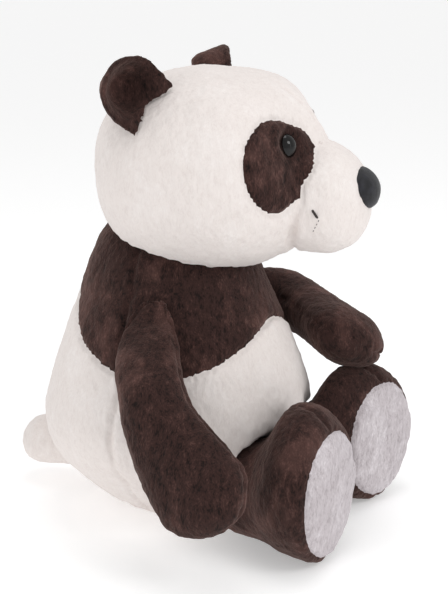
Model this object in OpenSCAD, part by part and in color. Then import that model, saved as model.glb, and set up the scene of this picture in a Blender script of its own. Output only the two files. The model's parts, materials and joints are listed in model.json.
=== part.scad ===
// Sitting plush panda. Millimetres, +Z up, front faces -Y, the panda's left is +X.
// Origin: centre of the body on the floor.
// Every soft piece is a shell of cloth around a point or an axis, so a cover, its
// neighbours and the stuffing inside it are all read from the same surface.

/* [Cloth] */
// thickness of the plush cloth
cloth_t = 3; // [2:0.1:5]
// clearance between a cover and the stuffing inside it
fill_gap = 0.4; // [0.3:0.1:2]
// clearance between two pieces that move past each other
move_gap = 0.6; // [0.3:0.1:2]

/* [Body] */
// largest radius of the body, near the seat
body_r = 129; // [100:1:150]
// height of that largest radius
body_belly_z = 103; // [70:1:130]
// share of the largest radius left at the floor
body_foot_k = 0.44; // [0.35:0.01:0.9]
// width of the body at the floor against its depth there
seat_narrow = 0.75; // [0.6:0.01:1]
// how far the belly stands forward of the back
belly_forward = 5; // [0:1:15]
// height of the neck pivot, the centre of the round neck seat
neck_z = 225; // [200:1:250]
// radius of the neck seat
neck_r = 80; // [70:1:90]
// height of the shoulder band's edge at the front
yoke_z = 197; // [170:1:215]
// height of that edge at the back
yoke_back_z = 240; // [180:1:245]
// how far that edge dips at the sides
yoke_dip = 58; // [20:1:70]

/* [Head] */
// half width of the head
skull_a = 111; // [90:1:140]
// half depth of the head
skull_b = 103; // [80:1:130]
// half height of the head
skull_c = 91; // [75:1:115]
// fullness of the head (2 is an ellipsoid)
skull_p = 2.35; // [2:0.05:3]
// head centre forward of the neck pivot
head_forward = 41; // [20:1:60]
// head centre above the neck pivot
head_up = 107; // [95:1:130]
// turn of the head towards the panda's left
head_yaw = 4; // [-10:1:10]
// half width of the muzzle
muzzle_a = 52; // [40:1:70]
// half depth of the muzzle
muzzle_b = 64; // [45:1:80]
// half height of the muzzle
muzzle_c = 46; // [35:1:60]
// fullness of the muzzle (2 is an ellipsoid)
muzzle_p = 2.5; // [2:0.05:3]
// muzzle centre forward of the head centre
muzzle_forward = 81; // [80:1:120]
// muzzle centre below the head centre
muzzle_drop = 20; // [15:1:45]

/* [Face] */
// half width of the nose
nose_a = 20; // [15:1:35]
// half height of the nose
nose_b = 18; // [12:1:30]
// padding of the nose at its middle
nose_t = 9; // [5:0.5:14]
// half width of an eye patch
patch_a = 33; // [25:1:45]
// half height of an eye patch
patch_b = 45; // [30:1:55]
// thickness of an eye patch
patch_t = 2.2; // [1.5:0.1:4]
// radius of an eye
eye_r = 9.5; // [7:0.5:14]
// height of an eye's dome
eye_h = 5.5; // [4:0.5:9]
// depth of the dents in which the eyes sit
eye_dent = 12; // [0:0.5:12]
// radius of an eye's shank
shank_r = 2.5; // [1.5:0.1:3.5]
// length of the shank behind the dome
shank_l = 15; // [11:0.5:20]
// clearance of the shank in the cloth
shank_gap = 0.3; // [0.1:0.1:0.6]
// radius of the washer inside the head
washer_r = 9; // [7:0.5:12]
// thickness of the washer
washer_t = 2; // [1:0.1:3]

/* [Ears] */
// radius of an ear
ear_r = 31; // [25:1:45]
// height of the ear's middle above the head
ear_rise = 22; // [5:1:25]
// hollow of the ear's front
ear_cup = 11; // [4:1:18]
// bulge of the ear's back
ear_back = 24; // [12:1:32]

/* [Arms] */
// length of an arm from shoulder to the middle of the hand
arm_l = 122; // [110:1:180]
// radius at the shoulder
arm_r = 29; // [22:1:36]
// half width of the hand
hand_a = 44; // [32:1:50]
// half thickness of the hand
hand_b = 26; // [20:1:34]
// forward curve of the arm
arm_curve = 26; // [0:1:40]

/* [Legs] */
// hip distance from the middle
hip_x = 54; // [50:1:70]
// hip distance forward of the origin
hip_y = 104; // [85:1:115]
// hip height
hip_z = 49; // [44:1:60]
// radius of the hip end of a leg
hip_r = 44; // [36:1:52]
// distance of the sole forward of the hip
leg_l = 82; // [60:1:110]
// how far the foot stands out from the hip
leg_splay = 22; // [20:1:55]
// half width of the foot
foot_a = 61; // [45:1:68]
// half height of the foot
foot_b = 69; // [50:1:80]
// half width of the sole
sole_a = 52; // [36:1:56]
// half height of the sole
sole_b = 58; // [40:1:66]
// inward turn of the left foot
toe_in_left = 17; // [0:1:25]
// inward turn of the right foot
toe_in_right = -5; // [-5:1:25]

/* [Tail] */
// radius of the tail
tail_r = 27; // [16:1:32]
// length of the tail beyond the body
tail_l = 65; // [30:1:75]
// height of the tail above the floor
tail_z = 41; // [34:1:60]

/* [Hidden] */

WHITE = [0.93, 0.90, 0.88];
BROWN = [0.25, 0.17, 0.15];
LILAC = [0.76, 0.72, 0.75];
BLACK = [0.10, 0.10, 0.11];
FILL = [0.98, 0.98, 0.96];
NYLON = [0.85, 0.85, 0.82];

// ---------- helpers ----------
function unit(v) = v / norm(v);
function mix(a, b, t) = a + (b - a) * t;
function clamp(x, a, b) = min(max(x, a), b);
function smooth(t) = t * t * (3 - 2 * t);
// exit distance from the origin of direction d out of the sphere at c, or far
function ball_entry(d, c, r) =
  let (b = d * c, q = b * b - c * c + r * r)
  (b > 0 && q > 0) ? b - sqrt(q) : 1e4;
// entry distance from point o
function ball_from(o, d, c, r) = ball_entry(d, c - o, r);

function tri_ok(p, t) =
  norm(p[t[0]] - p[t[1]]) > 1e-4 && norm(p[t[1]] - p[t[2]]) > 1e-4 &&
  norm(p[t[2]] - p[t[0]]) > 1e-4;
function quads(a, b, c, d) = [[a, b, c], [a, c, d]];

// a sheet of cloth: O is the grid of outside points, I the grid of inside points
module sheet(O, I, wrap = false, flip = false) {
  n = len(O) - 1;
  m = wrap ? len(O[0]) : len(O[0]) - 1;
  w = len(O[0]);
  k = len(O) * w;
  P = concat([for (r = O) for (p = r) p], [for (r = I) for (p = r) p]);
  F = concat(
    [for (i = [0:n - 1]) for (j = [0:m - 1]) let (a = i * w + j, b = i * w + (j + 1) % w)
      each quads(a, b, b + w, a + w)],
    [for (i = [0:n - 1]) for (j = [0:m - 1]) let (a = k + i * w + j, b = k + i * w + (j + 1) % w)
      each quads(a, a + w, b + w, b)],
    [for (j = [0:m - 1]) let (a = j, b = (j + 1) % w) each quads(a, a + k, b + k, b)],
    [for (j = [0:m - 1]) let (a = n * w + j, b = n * w + (j + 1) % w)
      each quads(a, b, b + k, a + k)],
    wrap ? [] : [for (i = [0:n - 1]) let (a = i * w) each quads(a, a + w, a + w + k, a + k)],
    wrap ? [] : [for (i = [0:n - 1]) let (a = i * w + m) each quads(a, a + k, a + w + k, a + w)]);
  G = [for (t = F) if (tri_ok(P, t)) flip ? [t[2], t[1], t[0]] : t];
  polyhedron(points = P, faces = G, convexity = 8);
}

// a closed fill: O is a grid that goes round and closes at both ends
module fill(O, flip = false) {
  n = len(O) - 1;
  w = len(O[0]);
  P = [for (r = O) for (p = r) p];
  F = [for (i = [0:n - 1]) for (j = [0:w - 1]) let (a = i * w + j, b = i * w + (j + 1) % w)
    each quads(a, b, b + w, a + w)];
  G = [for (t = F) if (tri_ok(P, t)) flip ? [t[2], t[1], t[0]] : t];
  polyhedron(points = P, faces = G, convexity = 8);
}

// ---------- torso ----------
torso_c = [0, 0, 118];
neck_p = [0, 0, neck_z];
seat_a = 24;  // angle up the neck seat where the shoulder runs into it
cone_z = neck_z + neck_r * sin(seat_a);
cone_r = neck_r * cos(seat_a);
cone_q = tan(seat_a) * (cone_z - body_belly_z) / (body_r - cone_r);
function torso_R(z) =
  z < body_belly_z
    ? body_r * (1 - (1 - body_foot_k) * pow((body_belly_z - max(z, 0)) / body_belly_z, 2.5)) :
  z < cone_z
    ? body_r - (body_r - cone_r) * pow((z - body_belly_z) / (cone_z - body_belly_z), cone_q) :
  sqrt(max(neck_r * neck_r - (z - neck_z) * (z - neck_z), 0));
function torso_cy(z) = z > cone_z ? 0 : -belly_forward * sin(180 * clamp(z / cone_z, 0, 1));
// the seat is narrower from side to side than from front to back
function torso_kx(z) = mix(seat_narrow, 1, smooth(clamp(z / body_belly_z, 0, 1)));
function torso_in(p) = p.z > 0 && p.z < neck_z + neck_r &&
  norm([p.x / torso_kx(p.z), p.y - torso_cy(p.z)]) < torso_R(p.z);
function torso_hit(d, a, b, k) =
  let (m = (a + b) / 2) k == 0 ? m :
  torso_in(torso_c + d * m) ? torso_hit(d, m, b, k - 1) : torso_hit(d, a, m, k - 1);
hips = [[hip_x, -hip_y, hip_z], [-hip_x, -hip_y, hip_z]];
tail_socket = tail_r * 0.92 + move_gap + 0.8;
tail_p = [0, torso_R(tail_z) + torso_cy(tail_z) - 2, tail_z];
function torso_r(d) = torso_hit(d, 0, 260, 24);
// the hollows that the hips and the tail sit in
module sockets(extra) {
  for (h = hips) translate(h) {
    sphere(r = hip_r + move_gap + 0.8 + extra, $fn = 96);
    rotate([90, 0, 0]) cylinder(r = hip_r + 6.4 + extra, h = 60, $fn = 96);
    translate([sign(h.x) * 9, -14.5, 10]) rotate([90, 0, 0])
      cylinder(r = hip_r + 17 + extra, h = 45, $fn = 96);
    translate([sign(h.x) * 12, -14.5, 17]) rotate([90, 0, 0])
      cylinder(r = hip_r + 18.5 + extra, h = 45, $fn = 96);
  }
  translate(tail_p) {
    sphere(r = tail_socket + extra, $fn = 96);
    rotate([-90, 0, 0]) cylinder(r = tail_r + 2.4 + extra, h = 50, $fn = 96);
  }
}
function torso_d(la, ph) = [cos(ph) * sin(la), -cos(ph) * cos(la), sin(ph)];
function torso_pt(la, ph, off) = let (d = torso_d(la, ph)) torso_c + d * (torso_r(d) - off);
base_ph = -atan2(torso_c.z, body_r * body_foot_k);
function yoke_ph(la) =
  let (z = mix(yoke_z, yoke_back_z, (1 - cos(la)) / 2) - yoke_dip * pow(abs(sin(la)), 1.4))
  atan2(z - torso_c.z, torso_R(z));

TL = 16; // columns of a front or back panel
module torso_panel(l0, l1, lo, hi, rows) {
  g = function (off) [for (i = [0:rows]) [for (j = [0:TL])
    let (la = mix(l0, l1, j / TL),
         a = lo ? yoke_ph(la) : base_ph, b = hi ? 90 : yoke_ph(la))
    torso_pt(la, mix(a, b, i / rows), off)]];
  sheet(g(0), g(cloth_t), flip = true);
}
module belly_panel() color(WHITE) difference() {
  torso_panel(-90, 90, false, false, 9);
  sockets(0);
}
module back_panel() color(WHITE) difference() {
  torso_panel(90, 270, false, false, 9);
  sockets(0);
}
module yoke_front() color(BROWN) torso_panel(-90, 90, true, true, 7);
module yoke_back() color(BROWN) torso_panel(90, 270, true, true, 7);
module base_panel() {
  g = function (off) [for (i = [0:4]) [for (j = [0:2 * TL - 1])
    torso_pt(-90 + 180 * j / TL, mix(-90, base_ph, i / 4), off)]];
  color(WHITE) sheet(g(0), g(cloth_t), wrap = true, flip = true);
}
module torso_stuffing() {
  g = [for (i = [0:16]) [for (j = [0:2 * TL - 1])
    torso_pt(-90 + 180 * j / TL, mix(-90, 90, i / 16), cloth_t + fill_gap + 2)]];
  color(FILL) difference() {
    fill(g, flip = true);
    sockets(1);
  }
}
module neck_thread() {
  r = neck_r + 1.3;
  color(BROWN) translate([0, 0, neck_z + r * sin(48)])
    rotate_extrude($fn = 96) translate([r * cos(48), 0]) circle(r = 0.8, $fn = 24);
}

// ---------- head, in its own frame: origin at its centre ----------
neck_l = [0, head_forward, -head_up];
seat_r = neck_r + 3.6; // hollow under the head, clear of the neck thread
module head_place() translate(neck_p) rotate([0, 0, head_yaw]) translate(-neck_l) children();
function pw(x, p) = pow(abs(x), p);
function skull_f(v) = pw(v.x / skull_a, skull_p) + pw(v.y / skull_b, skull_p)
  + pw(v.z / skull_c, skull_p);
function skull_r(d) = pow(skull_f(d), -1 / skull_p);
muzzle_m = [0, -muzzle_forward, -muzzle_drop];
function muzzle_f(v) = pw((v.x - muzzle_m.x) / muzzle_a, muzzle_p)
  + pw((v.y - muzzle_m.y) / muzzle_b, muzzle_p) + pw((v.z - muzzle_m.z) / muzzle_c, muzzle_p);
function muzzle_hit(d, a, b, k) = let (m = (a + b) / 2) k == 0 ? m :
  muzzle_f(d * m) < 1 ? muzzle_hit(d, m, b, k - 1) : muzzle_hit(d, a, m, k - 1);
function muzzle_r(d) = let (q = d * muzzle_m)
  (q > 0 && muzzle_f(d * q) < 1) ? muzzle_hit(d, q, q + 120, 18) : 0;
function head_out(d) =
  let (a = skull_r(d), b = muzzle_r(d), k = 7, h = max(k - abs(a - b), 0) / k)
  max(a, b) + h * h * k / 4;
eye_d = unit([48, -89, 31]);
function eye_off_angle(d) = acos(clamp(abs(d.x) * eye_d.x + d.y * eye_d.y + d.z * eye_d.z, -1, 1));
function head_r(d) = head_out(d) - eye_dent * exp(-pow(eye_off_angle(d) / 14, 2));
module head_seat(extra) translate(neck_l) sphere(r = seat_r + extra, $fn = 128);
function front_d(th, al) = [sin(al) * cos(th), -cos(al), sin(al) * sin(th)];
// angle from the front axis at which the muzzle meets the head
function seam_hit(th, a, b, k) =
  let (m = (a + b) / 2, d = front_d(th, m)) k == 0 ? m :
  muzzle_r(d) > skull_r(d) ? seam_hit(th, m, b, k - 1) : seam_hit(th, a, m, k - 1);
function seam_al(th) = seam_hit(th, 0, 80, 14);

HJ = 22; // columns over half of the head
HI = 18; // rows from the muzzle to the back
module head_half() {
  g = function (off) [for (i = [0:HI]) [for (j = [0:HJ])
    let (th = -90 + 180 * j / HJ, d = front_d(th, mix(seam_al(th), 180, i / HI)))
    d * (head_r(d) - off)]];
  difference() {
    sheet(g(0), g(cloth_t));
    eye_axis() translate([0, 0, -40]) cylinder(r = shank_r + shank_gap, h = 60, $fn = 32);
    head_seat(0);
  }
}
module head_panel_left() color(WHITE) head_place() head_half();
module head_panel_right() color(WHITE) head_place() mirror([1, 0, 0]) head_half();
module muzzle_cover() {
  g = function (off) [for (i = [0:6]) [for (j = [0:2 * HJ - 1])
    let (th = -90 + 180 * j / HJ, d = front_d(th, seam_al(th) * pow(i / 6, 0.8)))
    d * (head_r(d) - off)]];
  color(WHITE) head_place() sheet(g(0), g(cloth_t), wrap = true);
}
module head_stuffing() {
  g = [for (i = [0:20]) [for (j = [0:27])
    let (d = front_d(-90 + 360 * j / 28, 9 * i))
    d * (head_r(d) - cloth_t - fill_gap - 3 - 16 * exp(-pow(eye_off_angle(d) / 20, 2)))]];
  color(FILL) head_place() difference() {
    fill(g);
    head_seat(1);
  }
}

// a patch on the head around direction c: x and z are measured along the surface
function tangent_d(c, x, z) =
  let (u = unit(cross(c, [0, 0, 1])) * -1, v = unit(cross(u, c)) * -1, r = head_r(c))
  unit(c + u * (-x / r) + v * (-z / r));
eye_n = unit([pw(eye_d.x / skull_a, skull_p - 1) / skull_a,
  -pw(eye_d.y / skull_b, skull_p - 1) / skull_b,
  pw(eye_d.z / skull_c, skull_p - 1) / skull_c]);
patch_lift = 1.4; // room under a patch for the pile of the head
eye_p = eye_d * (head_r(eye_d) + patch_t + patch_lift);
// the eye's axis, +Z out of the head, origin at the face of the patch
module eye_axis() translate(eye_p)
  rotate([0, acos(eye_n.z), atan2(eye_n.y, eye_n.x)]) children();
patch_c = unit([67, -81, 14]);
function patch_edge(ph) =
  let (e = 1 / sqrt(pow(cos(ph) / patch_a, 2) + pow(sin(ph) / patch_b, 2)),
       w = 1 + 0.3 * sin(ph))
  [e * cos(ph) * w + 0.02 * e * sin(ph), e * sin(ph)];
// the eye's place on the patch
eye_off = let (u = unit(cross(patch_c, [0, 0, 1])) * -1, v = unit(cross(u, patch_c)) * -1,
  r = head_r(patch_c), e = eye_d / (eye_d * patch_c)) [-(e * u) * r, -(e * v) * r];
module eye_patch() {
  g = function (off, k) [for (i = [0:6]) [for (j = [0:31])
    let (ph = 360 * j / 32, q = patch_edge(ph), s = i / 6,
         x = mix(eye_off.x + (shank_r + shank_gap + 0.6) * cos(ph), q.x, s),
         z = mix(eye_off.y + (shank_r + shank_gap + 0.6) * sin(ph), q.y, s),
         d = tangent_d(patch_c, x, z))
    d * (head_r(d) + off + (i == 6 ? -k : 0))]];
  sheet(g(patch_t + patch_lift, 0.8), g(patch_lift, 0), wrap = true);
}
module eye_patch_left() color(BROWN) head_place() eye_patch();
module eye_patch_right() color(BROWN) head_place() mirror([1, 0, 0]) eye_patch();
module eye() eye_axis() translate([0, 0, 2.3]) {
  R = (eye_r * eye_r + eye_h * eye_h) / (2 * eye_h);
  rotate_extrude($fn = 64)
    polygon(concat([[0, -shank_l], [shank_r, -shank_l], [shank_r, 0], [eye_r, 0]],
      [for (i = [1:8]) let (a = i / 8 * asin(eye_r / R), b = asin(eye_r / R) - a)
        [R * sin(b), R * cos(b) - R + eye_h]]));
}
module eye_left() color(BLACK) head_place() eye();
module eye_right() color(BLACK) head_place() mirror([1, 0, 0]) eye();
module eye_washer() eye_axis() translate([0, 0, -shank_l + 0.9])
  difference() {
    cylinder(r = washer_r, h = washer_t, $fn = 48);
    translate([0, 0, -1]) cylinder(r = shank_r + 0.1, h = washer_t + 2, $fn = 32);
  }
module eye_washer_left() color(NYLON) head_place() eye_washer();
module eye_washer_right() color(NYLON) head_place() mirror([1, 0, 0]) eye_washer();

nose_d = unit([0, -150, -11]);
module nose_cover() {
  g = function (k) [for (i = [0:6]) [for (j = [0:31])
    let (ph = 360 * j / 32, s = sin(90 * i / 6),
         q = [nose_a * cos(ph) * (1 + 0.16 * sin(ph)), nose_b * sin(ph)] * s,
         d = unit(nose_d * head_r(nose_d) + [q.x, 0, q.y]))
    d * (head_r(d) + 0.4 + k * (2 + (nose_t - 2) * sqrt(max(1 - s * s, 0))))]];
  color(BLACK) head_place() sheet(g(1), g(0), wrap = true);
}
// the mouth: a thread that runs from one corner under the nose to the other
module mouth_stitches() {
  n = 24;
  w = 8;
  c = [for (i = [0:n]) let (t = 2 * i / n - 1,
    d = unit([muzzle_a * 0.86 * sin(74 * t), -muzzle_forward - muzzle_b * cos(74 * t) * 0.8,
      -muzzle_drop - 22 + 14 * t * t])) d * (head_r(d) + 1.9)];
  color(BLACK) head_place() fill(flip = true, O = [for (i = [0:n])
    let (t = unit(c[min(i + 1, n)] - c[max(i - 1, 0)]), u = unit(cross(t, [0, 0, 1])),
         v = cross(t, u), r = (i == 0 || i == n) ? 0 : 1.1)
    [for (j = [0:w - 1]) c[i] + r * (cos(360 * j / w) * u + sin(360 * j / w) * v)]]);
}

// ---------- ears ----------
ear_c = [109, 27, 71];
ear_tilt = 47;  // lean of the ear to the side
ear_turn = -36; // turn of the ear's hollow to the side
function rot_y(v, a) = [v.x * cos(a) + v.z * sin(a), v.y, -v.x * sin(a) + v.z * cos(a)];
function rot_z(v, a) = [v.x * cos(a) - v.y * sin(a), v.x * sin(a) + v.y * cos(a), v.z];
function ear_dir(v) = rot_z(rot_y(v, ear_tilt), -ear_turn);
ear_o = unit(ear_c) * skull_r(unit(ear_c));
function ear_world(v) = ear_o + ear_dir(v);
// height of the head's surface along the ear's own axis
function ear_foot(x, y, a, b, k) =
  let (m = (a + b) / 2) k == 0 ? m :
  skull_f(ear_world([x, y, m])) > 1 ? ear_foot(x, y, a, m, k - 1) : ear_foot(x, y, m, b, k - 1);
EJ = 18;
EI = 6;
ear_w = 108;
function ear_pt(i, j, D, off) =
  let (k = 2 * j / EJ - 1, t = i / EI, om = k * ear_w,
       xr = ear_r * sin(om), zr = ear_rise + ear_r * cos(om),
       xb = ear_r * sin(ear_w) * k * 0.98, x = mix(xb, xr, t),
       z0 = mix(-6, zr, t), q = min(norm([x, z0 - ear_rise]) / ear_r, 1),
       y = D * (1 - q * q) + off,
       zh = ear_foot(x, y, -40, 60, 20) + 0.4)
  ear_world([x, y, abs(k) == 1 ? ear_foot(xr, y, -40, 60, 20) + 0.4 : max(zh, mix(zh, zr, t))]);
module ear_sheet(D, o1, o2) {
  g = function (off) [for (i = [0:EI]) [for (j = [0:EJ]) ear_pt(i, j, D, off)]];
  sheet(g(o1), g(o2), flip = o1 < o2);
}
module ear_front() ear_sheet(ear_cup, -2.6, -0.05);
module ear_rear() ear_sheet(ear_back, 2.6, 0.05);
module ear_left_front() color(BROWN) head_place() ear_front();
module ear_left_back() color(BROWN) head_place() ear_rear();
module ear_right_front() color(BROWN) head_place() mirror([1, 0, 0]) ear_front();
module ear_right_back() color(BROWN) head_place() mirror([1, 0, 0]) ear_rear();

// ---------- arms: local frame, shoulder at the origin, down the arm is -Z ----------
AI = 16;
AJ = 16;
function arm_cen(s) = [0, -arm_curve * (s / arm_l) * (s / arm_l) * 1.6, -s];
function arm_ab(s) = let (t = smooth(clamp((s / arm_l - 0.15) / 0.85, 0, 1)))
  [mix(arm_r, hand_a, t), mix(arm_r, hand_b, t)];
// u runs 0..1 from the shoulder's end to the hand's end
function arm_row(u) =
  let (c1 = 0.2, c2 = 0.72)
  u < c1 ? let (a = 90 * u / c1, q = arm_ab(0)) [arm_cen(0) + [0, 0, q[0] * cos(a)], q * sin(a), 0] :
  u > c2 ? let (a = 90 * (1 - (u - c2) / (1 - c2)), q = arm_ab(arm_l))
    [arm_cen(arm_l) + [0, -0.55, -0.84] * (hand_a * 0.92 * cos(a)), q * sin(a), arm_l] :
  let (s = arm_l * (u - c1) / (c2 - c1)) [arm_cen(s), arm_ab(s), s];
// thickness runs along X, width along Y
function arm_pt(u, th, off) =
  let (r = arm_row(u), core = arm_cen(r[2]), tilt = 33 * pow(clamp(r[2] / arm_l, 0, 1), 1.5),
       w = [0, cos(tilt), -sin(tilt)],
       p = r[0] + [1, 0, 0] * r[1][1] * cos(th) + w * r[1][0] * sin(th))
  p + (core - p) * (off / norm(p - core));
module arm_half(t0, t1) {
  g = function (off) [for (i = [0:AI]) [for (j = [0:AJ / 2])
    arm_pt(i / AI, mix(t0, t1, 2 * j / AJ), off)]];
  sheet(g(0), g(cloth_t));
}
module arm_fill() fill([for (i = [0:AI]) [for (j = [0:AJ - 1])
  arm_pt(i / AI, -90 + 360 * j / AJ, cloth_t + fill_gap)]]);

arm_z = 186;
arm_at = 79;   // angle of the shoulders round the body, from the front
arm_lean = 21; // slope of the arm's plane, that of the body's side
arm_out = torso_R(arm_z) + arm_r * 1.02 + move_gap;
shoulder = [arm_out * sin(arm_at) - 2, torso_cy(arm_z) - arm_out * cos(arm_at) - 5, arm_z + 4];
arm_fwd_r = 14; // swing of the right arm forward of straight down
arm_fwd_l = 78; // swing of the left arm
arm_in_l = 12;  // inward reach of the left arm
arm_roll_l = 52; // turn of the left arm about its own length
module right_arm_place() mirror([1, 0, 0]) translate(shoulder)
  rotate([0, -arm_lean, 0]) rotate([-arm_fwd_r, 0, 0]) children();
module left_arm_place() translate(shoulder)
  rotate([0, -arm_lean, 0]) rotate([-arm_fwd_l, 0, 0]) rotate([0, arm_in_l, 0])
  rotate([0, 0, -arm_roll_l]) children();
module arm_left_outer() color(BROWN) left_arm_place() arm_half(-90, 90);
module arm_left_inner() color(BROWN) left_arm_place() arm_half(90, 270);
module arm_stuffing_left() color(FILL) left_arm_place() arm_fill();
module arm_right_outer() color(BROWN) right_arm_place() arm_half(-90, 90);
module arm_right_inner() color(BROWN) right_arm_place() arm_half(90, 270);
module arm_stuffing_right() color(FILL) right_arm_place() arm_fill();

// ---------- legs: local frame, hip at the origin, sole towards -Y ----------
LJ = 24;
// stations: share of the length, share of hip->foot half width, half height, lift
function leg_a(t) = lookup(t, [[0, hip_r], [0.1, mix(hip_r, foot_a, 0.05)],
  [0.2, mix(hip_r, foot_a, 0.13)], [0.33, mix(hip_r, foot_a, 0.52)],
  [0.48, mix(hip_r, foot_a, 0.92)], [0.62, foot_a], [0.77, foot_a * 0.995],
  [0.9, mix(foot_a, sole_a, 0.3)], [0.97, mix(foot_a, sole_a, 0.72)], [1, sole_a]]);
function leg_b(t) = lookup(t, [[0, hip_r], [0.1, mix(hip_r, foot_b, 0.05)],
  [0.2, mix(hip_r, foot_b, 0.13)], [0.33, mix(hip_r, foot_b, 0.52)],
  [0.48, mix(hip_r, foot_b, 0.92)], [0.62, foot_b], [0.77, foot_b * 0.995],
  [0.9, mix(foot_b, sole_b, 0.3)], [0.97, mix(foot_b, sole_b, 0.72)], [1, sole_b]]);
foot_up = foot_b + 2 - hip_z;
sole_up = sole_b + 6 - hip_z;
function leg_cen(t) = [leg_splay * smooth(clamp(t * 0.9, 0, 1)) * 1.03, -leg_l * t,
  lookup(t, [[0, 0], [0.1, 0.05 * foot_up], [0.2, 0.13 * foot_up], [0.33, 0.52 * foot_up],
    [0.48, 0.92 * foot_up], [0.62, foot_up], [0.77, foot_up], [1, sole_up]])];
LT = [0, 0.1, 0.2, 0.33, 0.48, 0.62, 0.77, 0.9, 0.97, 1];
function leg_row(i) = // rows 0..4 are the round hip end, then one row a station
  i < 5 ? let (a = 90 * i / 5) [[0, hip_r * cos(a), 0], [hip_r, hip_r] * sin(a), [0, 0, 0], 0] :
  let (t = LT[i - 5]) [leg_cen(t), [leg_a(t), leg_b(t)], leg_cen(min(t, 0.8)), t];
LI = 5 + len(LT) - 1;
function leg_pt(i, th, off, toe) =
  let (r = leg_row(i), k = -toe * smooth(r[3]),
       p = r[0] + [cos(k), sin(k), 0] * r[1][0] * cos(th) + [0, 0, 1] * r[1][1] * sin(th),
       core = r[2])
  p + (core - p) * (off / norm(p - core));
module leg_half(t0, t1, toe) {
  g = function (off) [for (i = [0:LI]) [for (j = [0:LJ / 2])
    leg_pt(i, mix(t0, t1, 2 * j / LJ), off, toe)]];
  sheet(g(0), g(cloth_t), flip = true);
}
module leg_fill(toe) {
  e = leg_cen(1) + [0, cloth_t + 2, 0];
  fill(concat([for (i = [0:LI]) [for (j = [0:LJ - 1])
    leg_pt(i, -90 + 360 * j / LJ, cloth_t + fill_gap, toe)]],
    [[for (j = [0:LJ - 1]) e]]), flip = true);
}
module leg_sole(toe) {
  c = leg_cen(1);
  k = -toe;
  g = function (o) [for (i = [0:4]) [for (j = [0:LJ - 1])
    let (s = i / 4, th = 360 * j / LJ, n = [sin(k), -cos(k), 0])
    c + ([cos(k), sin(k), 0] * sole_a * cos(th) + [0, 0, 1] * sole_b * sin(th)) * s
      + n * (0.1 + o * (cloth_t - 0.8 * pow(s, 4)) + (1 - s * s) * 4)]];
  sheet(g(1), g(0), wrap = true);
}
module left_leg_place() translate(hips[0]) children();
module right_leg_place() mirror([1, 0, 0]) translate(hips[0]) children();
module leg_left_outer() color(BROWN) left_leg_place() leg_half(-90, 90, toe_in_left);
module leg_left_inner() color(BROWN) left_leg_place() leg_half(90, 270, toe_in_left);
module sole_left() color(LILAC) left_leg_place() leg_sole(toe_in_left);
module leg_stuffing_left() color(FILL) left_leg_place() leg_fill(toe_in_left);
module leg_right_outer() color(BROWN) right_leg_place() leg_half(-90, 90, toe_in_right);
module leg_right_inner() color(BROWN) right_leg_place() leg_half(90, 270, toe_in_right);
module sole_right() color(LILAC) right_leg_place() leg_sole(toe_in_right);
module leg_stuffing_right() color(FILL) right_leg_place() leg_fill(toe_in_right);

// ---------- tail ----------
function tail_pt(u, th, off) =
  let (r0 = tail_r * 0.8, l = tail_l - tail_r,
       c = u < 0.5 ? 0 : l, a = 180 * u,
       r = u < 0.5 ? r0 : tail_r, e = u < 0.5 ? r0 : tail_r,
       p = [r * 1.05 * sin(a) * cos(th), c - e * cos(a), r * 0.95 * sin(a) * sin(th)],
       k = [0, c, 0])
  p + (k - p) * (off / norm(p - k));
TR = [0, 0.1, 0.2, 0.3, 0.4, 0.499, 0.56, 0.64, 0.72, 0.8, 0.9, 1];
module tail_cover() color(WHITE) translate(tail_p) {
  g = function (off) [for (k = [1:len(TR) - 1]) [for (j = [0:15])
    tail_pt(TR[k], 360 * j / 16, off)]];
  sheet(g(0), g(cloth_t), wrap = true);
}
module tail_stuffing() color(FILL) translate(tail_p)
  fill([for (u = TR) [for (j = [0:15]) tail_pt(u, 360 * j / 16, cloth_t + fill_gap)]]);

head_panel_left();
head_panel_right();
muzzle_cover();
nose_cover();
mouth_stitches();
eye_patch_left();
eye_patch_right();
eye_left();
eye_right();
eye_washer_left();
eye_washer_right();
ear_left_front();
ear_left_back();
ear_right_front();
ear_right_back();
head_stuffing();
neck_thread();
yoke_front();
yoke_back();
belly_panel();
back_panel();
base_panel();
torso_stuffing();
tail_cover();
tail_stuffing();
arm_left_outer();
arm_left_inner();
arm_stuffing_left();
arm_right_outer();
arm_right_inner();
arm_stuffing_right();
leg_left_outer();
leg_left_inner();
sole_left();
leg_stuffing_left();
leg_right_outer();
leg_right_inner();
sole_right();
leg_stuffing_right();
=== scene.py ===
"""Looks of a sitting plush panda: stuffed covers, seams, eyes, nose, floor, light and camera."""

import json  # noqa: E402
import logging  # noqa: E402
import math  # noqa: E402
from dataclasses import dataclass, field  # noqa: E402
from enum import Enum  # noqa: E402

import bpy  # noqa: E402
import numpy as np  # noqa: E402
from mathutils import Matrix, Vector  # noqa: E402
from mathutils.bvhtree import BVHTree  # noqa: E402
from mathutils.kdtree import KDTree  # noqa: E402

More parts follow.
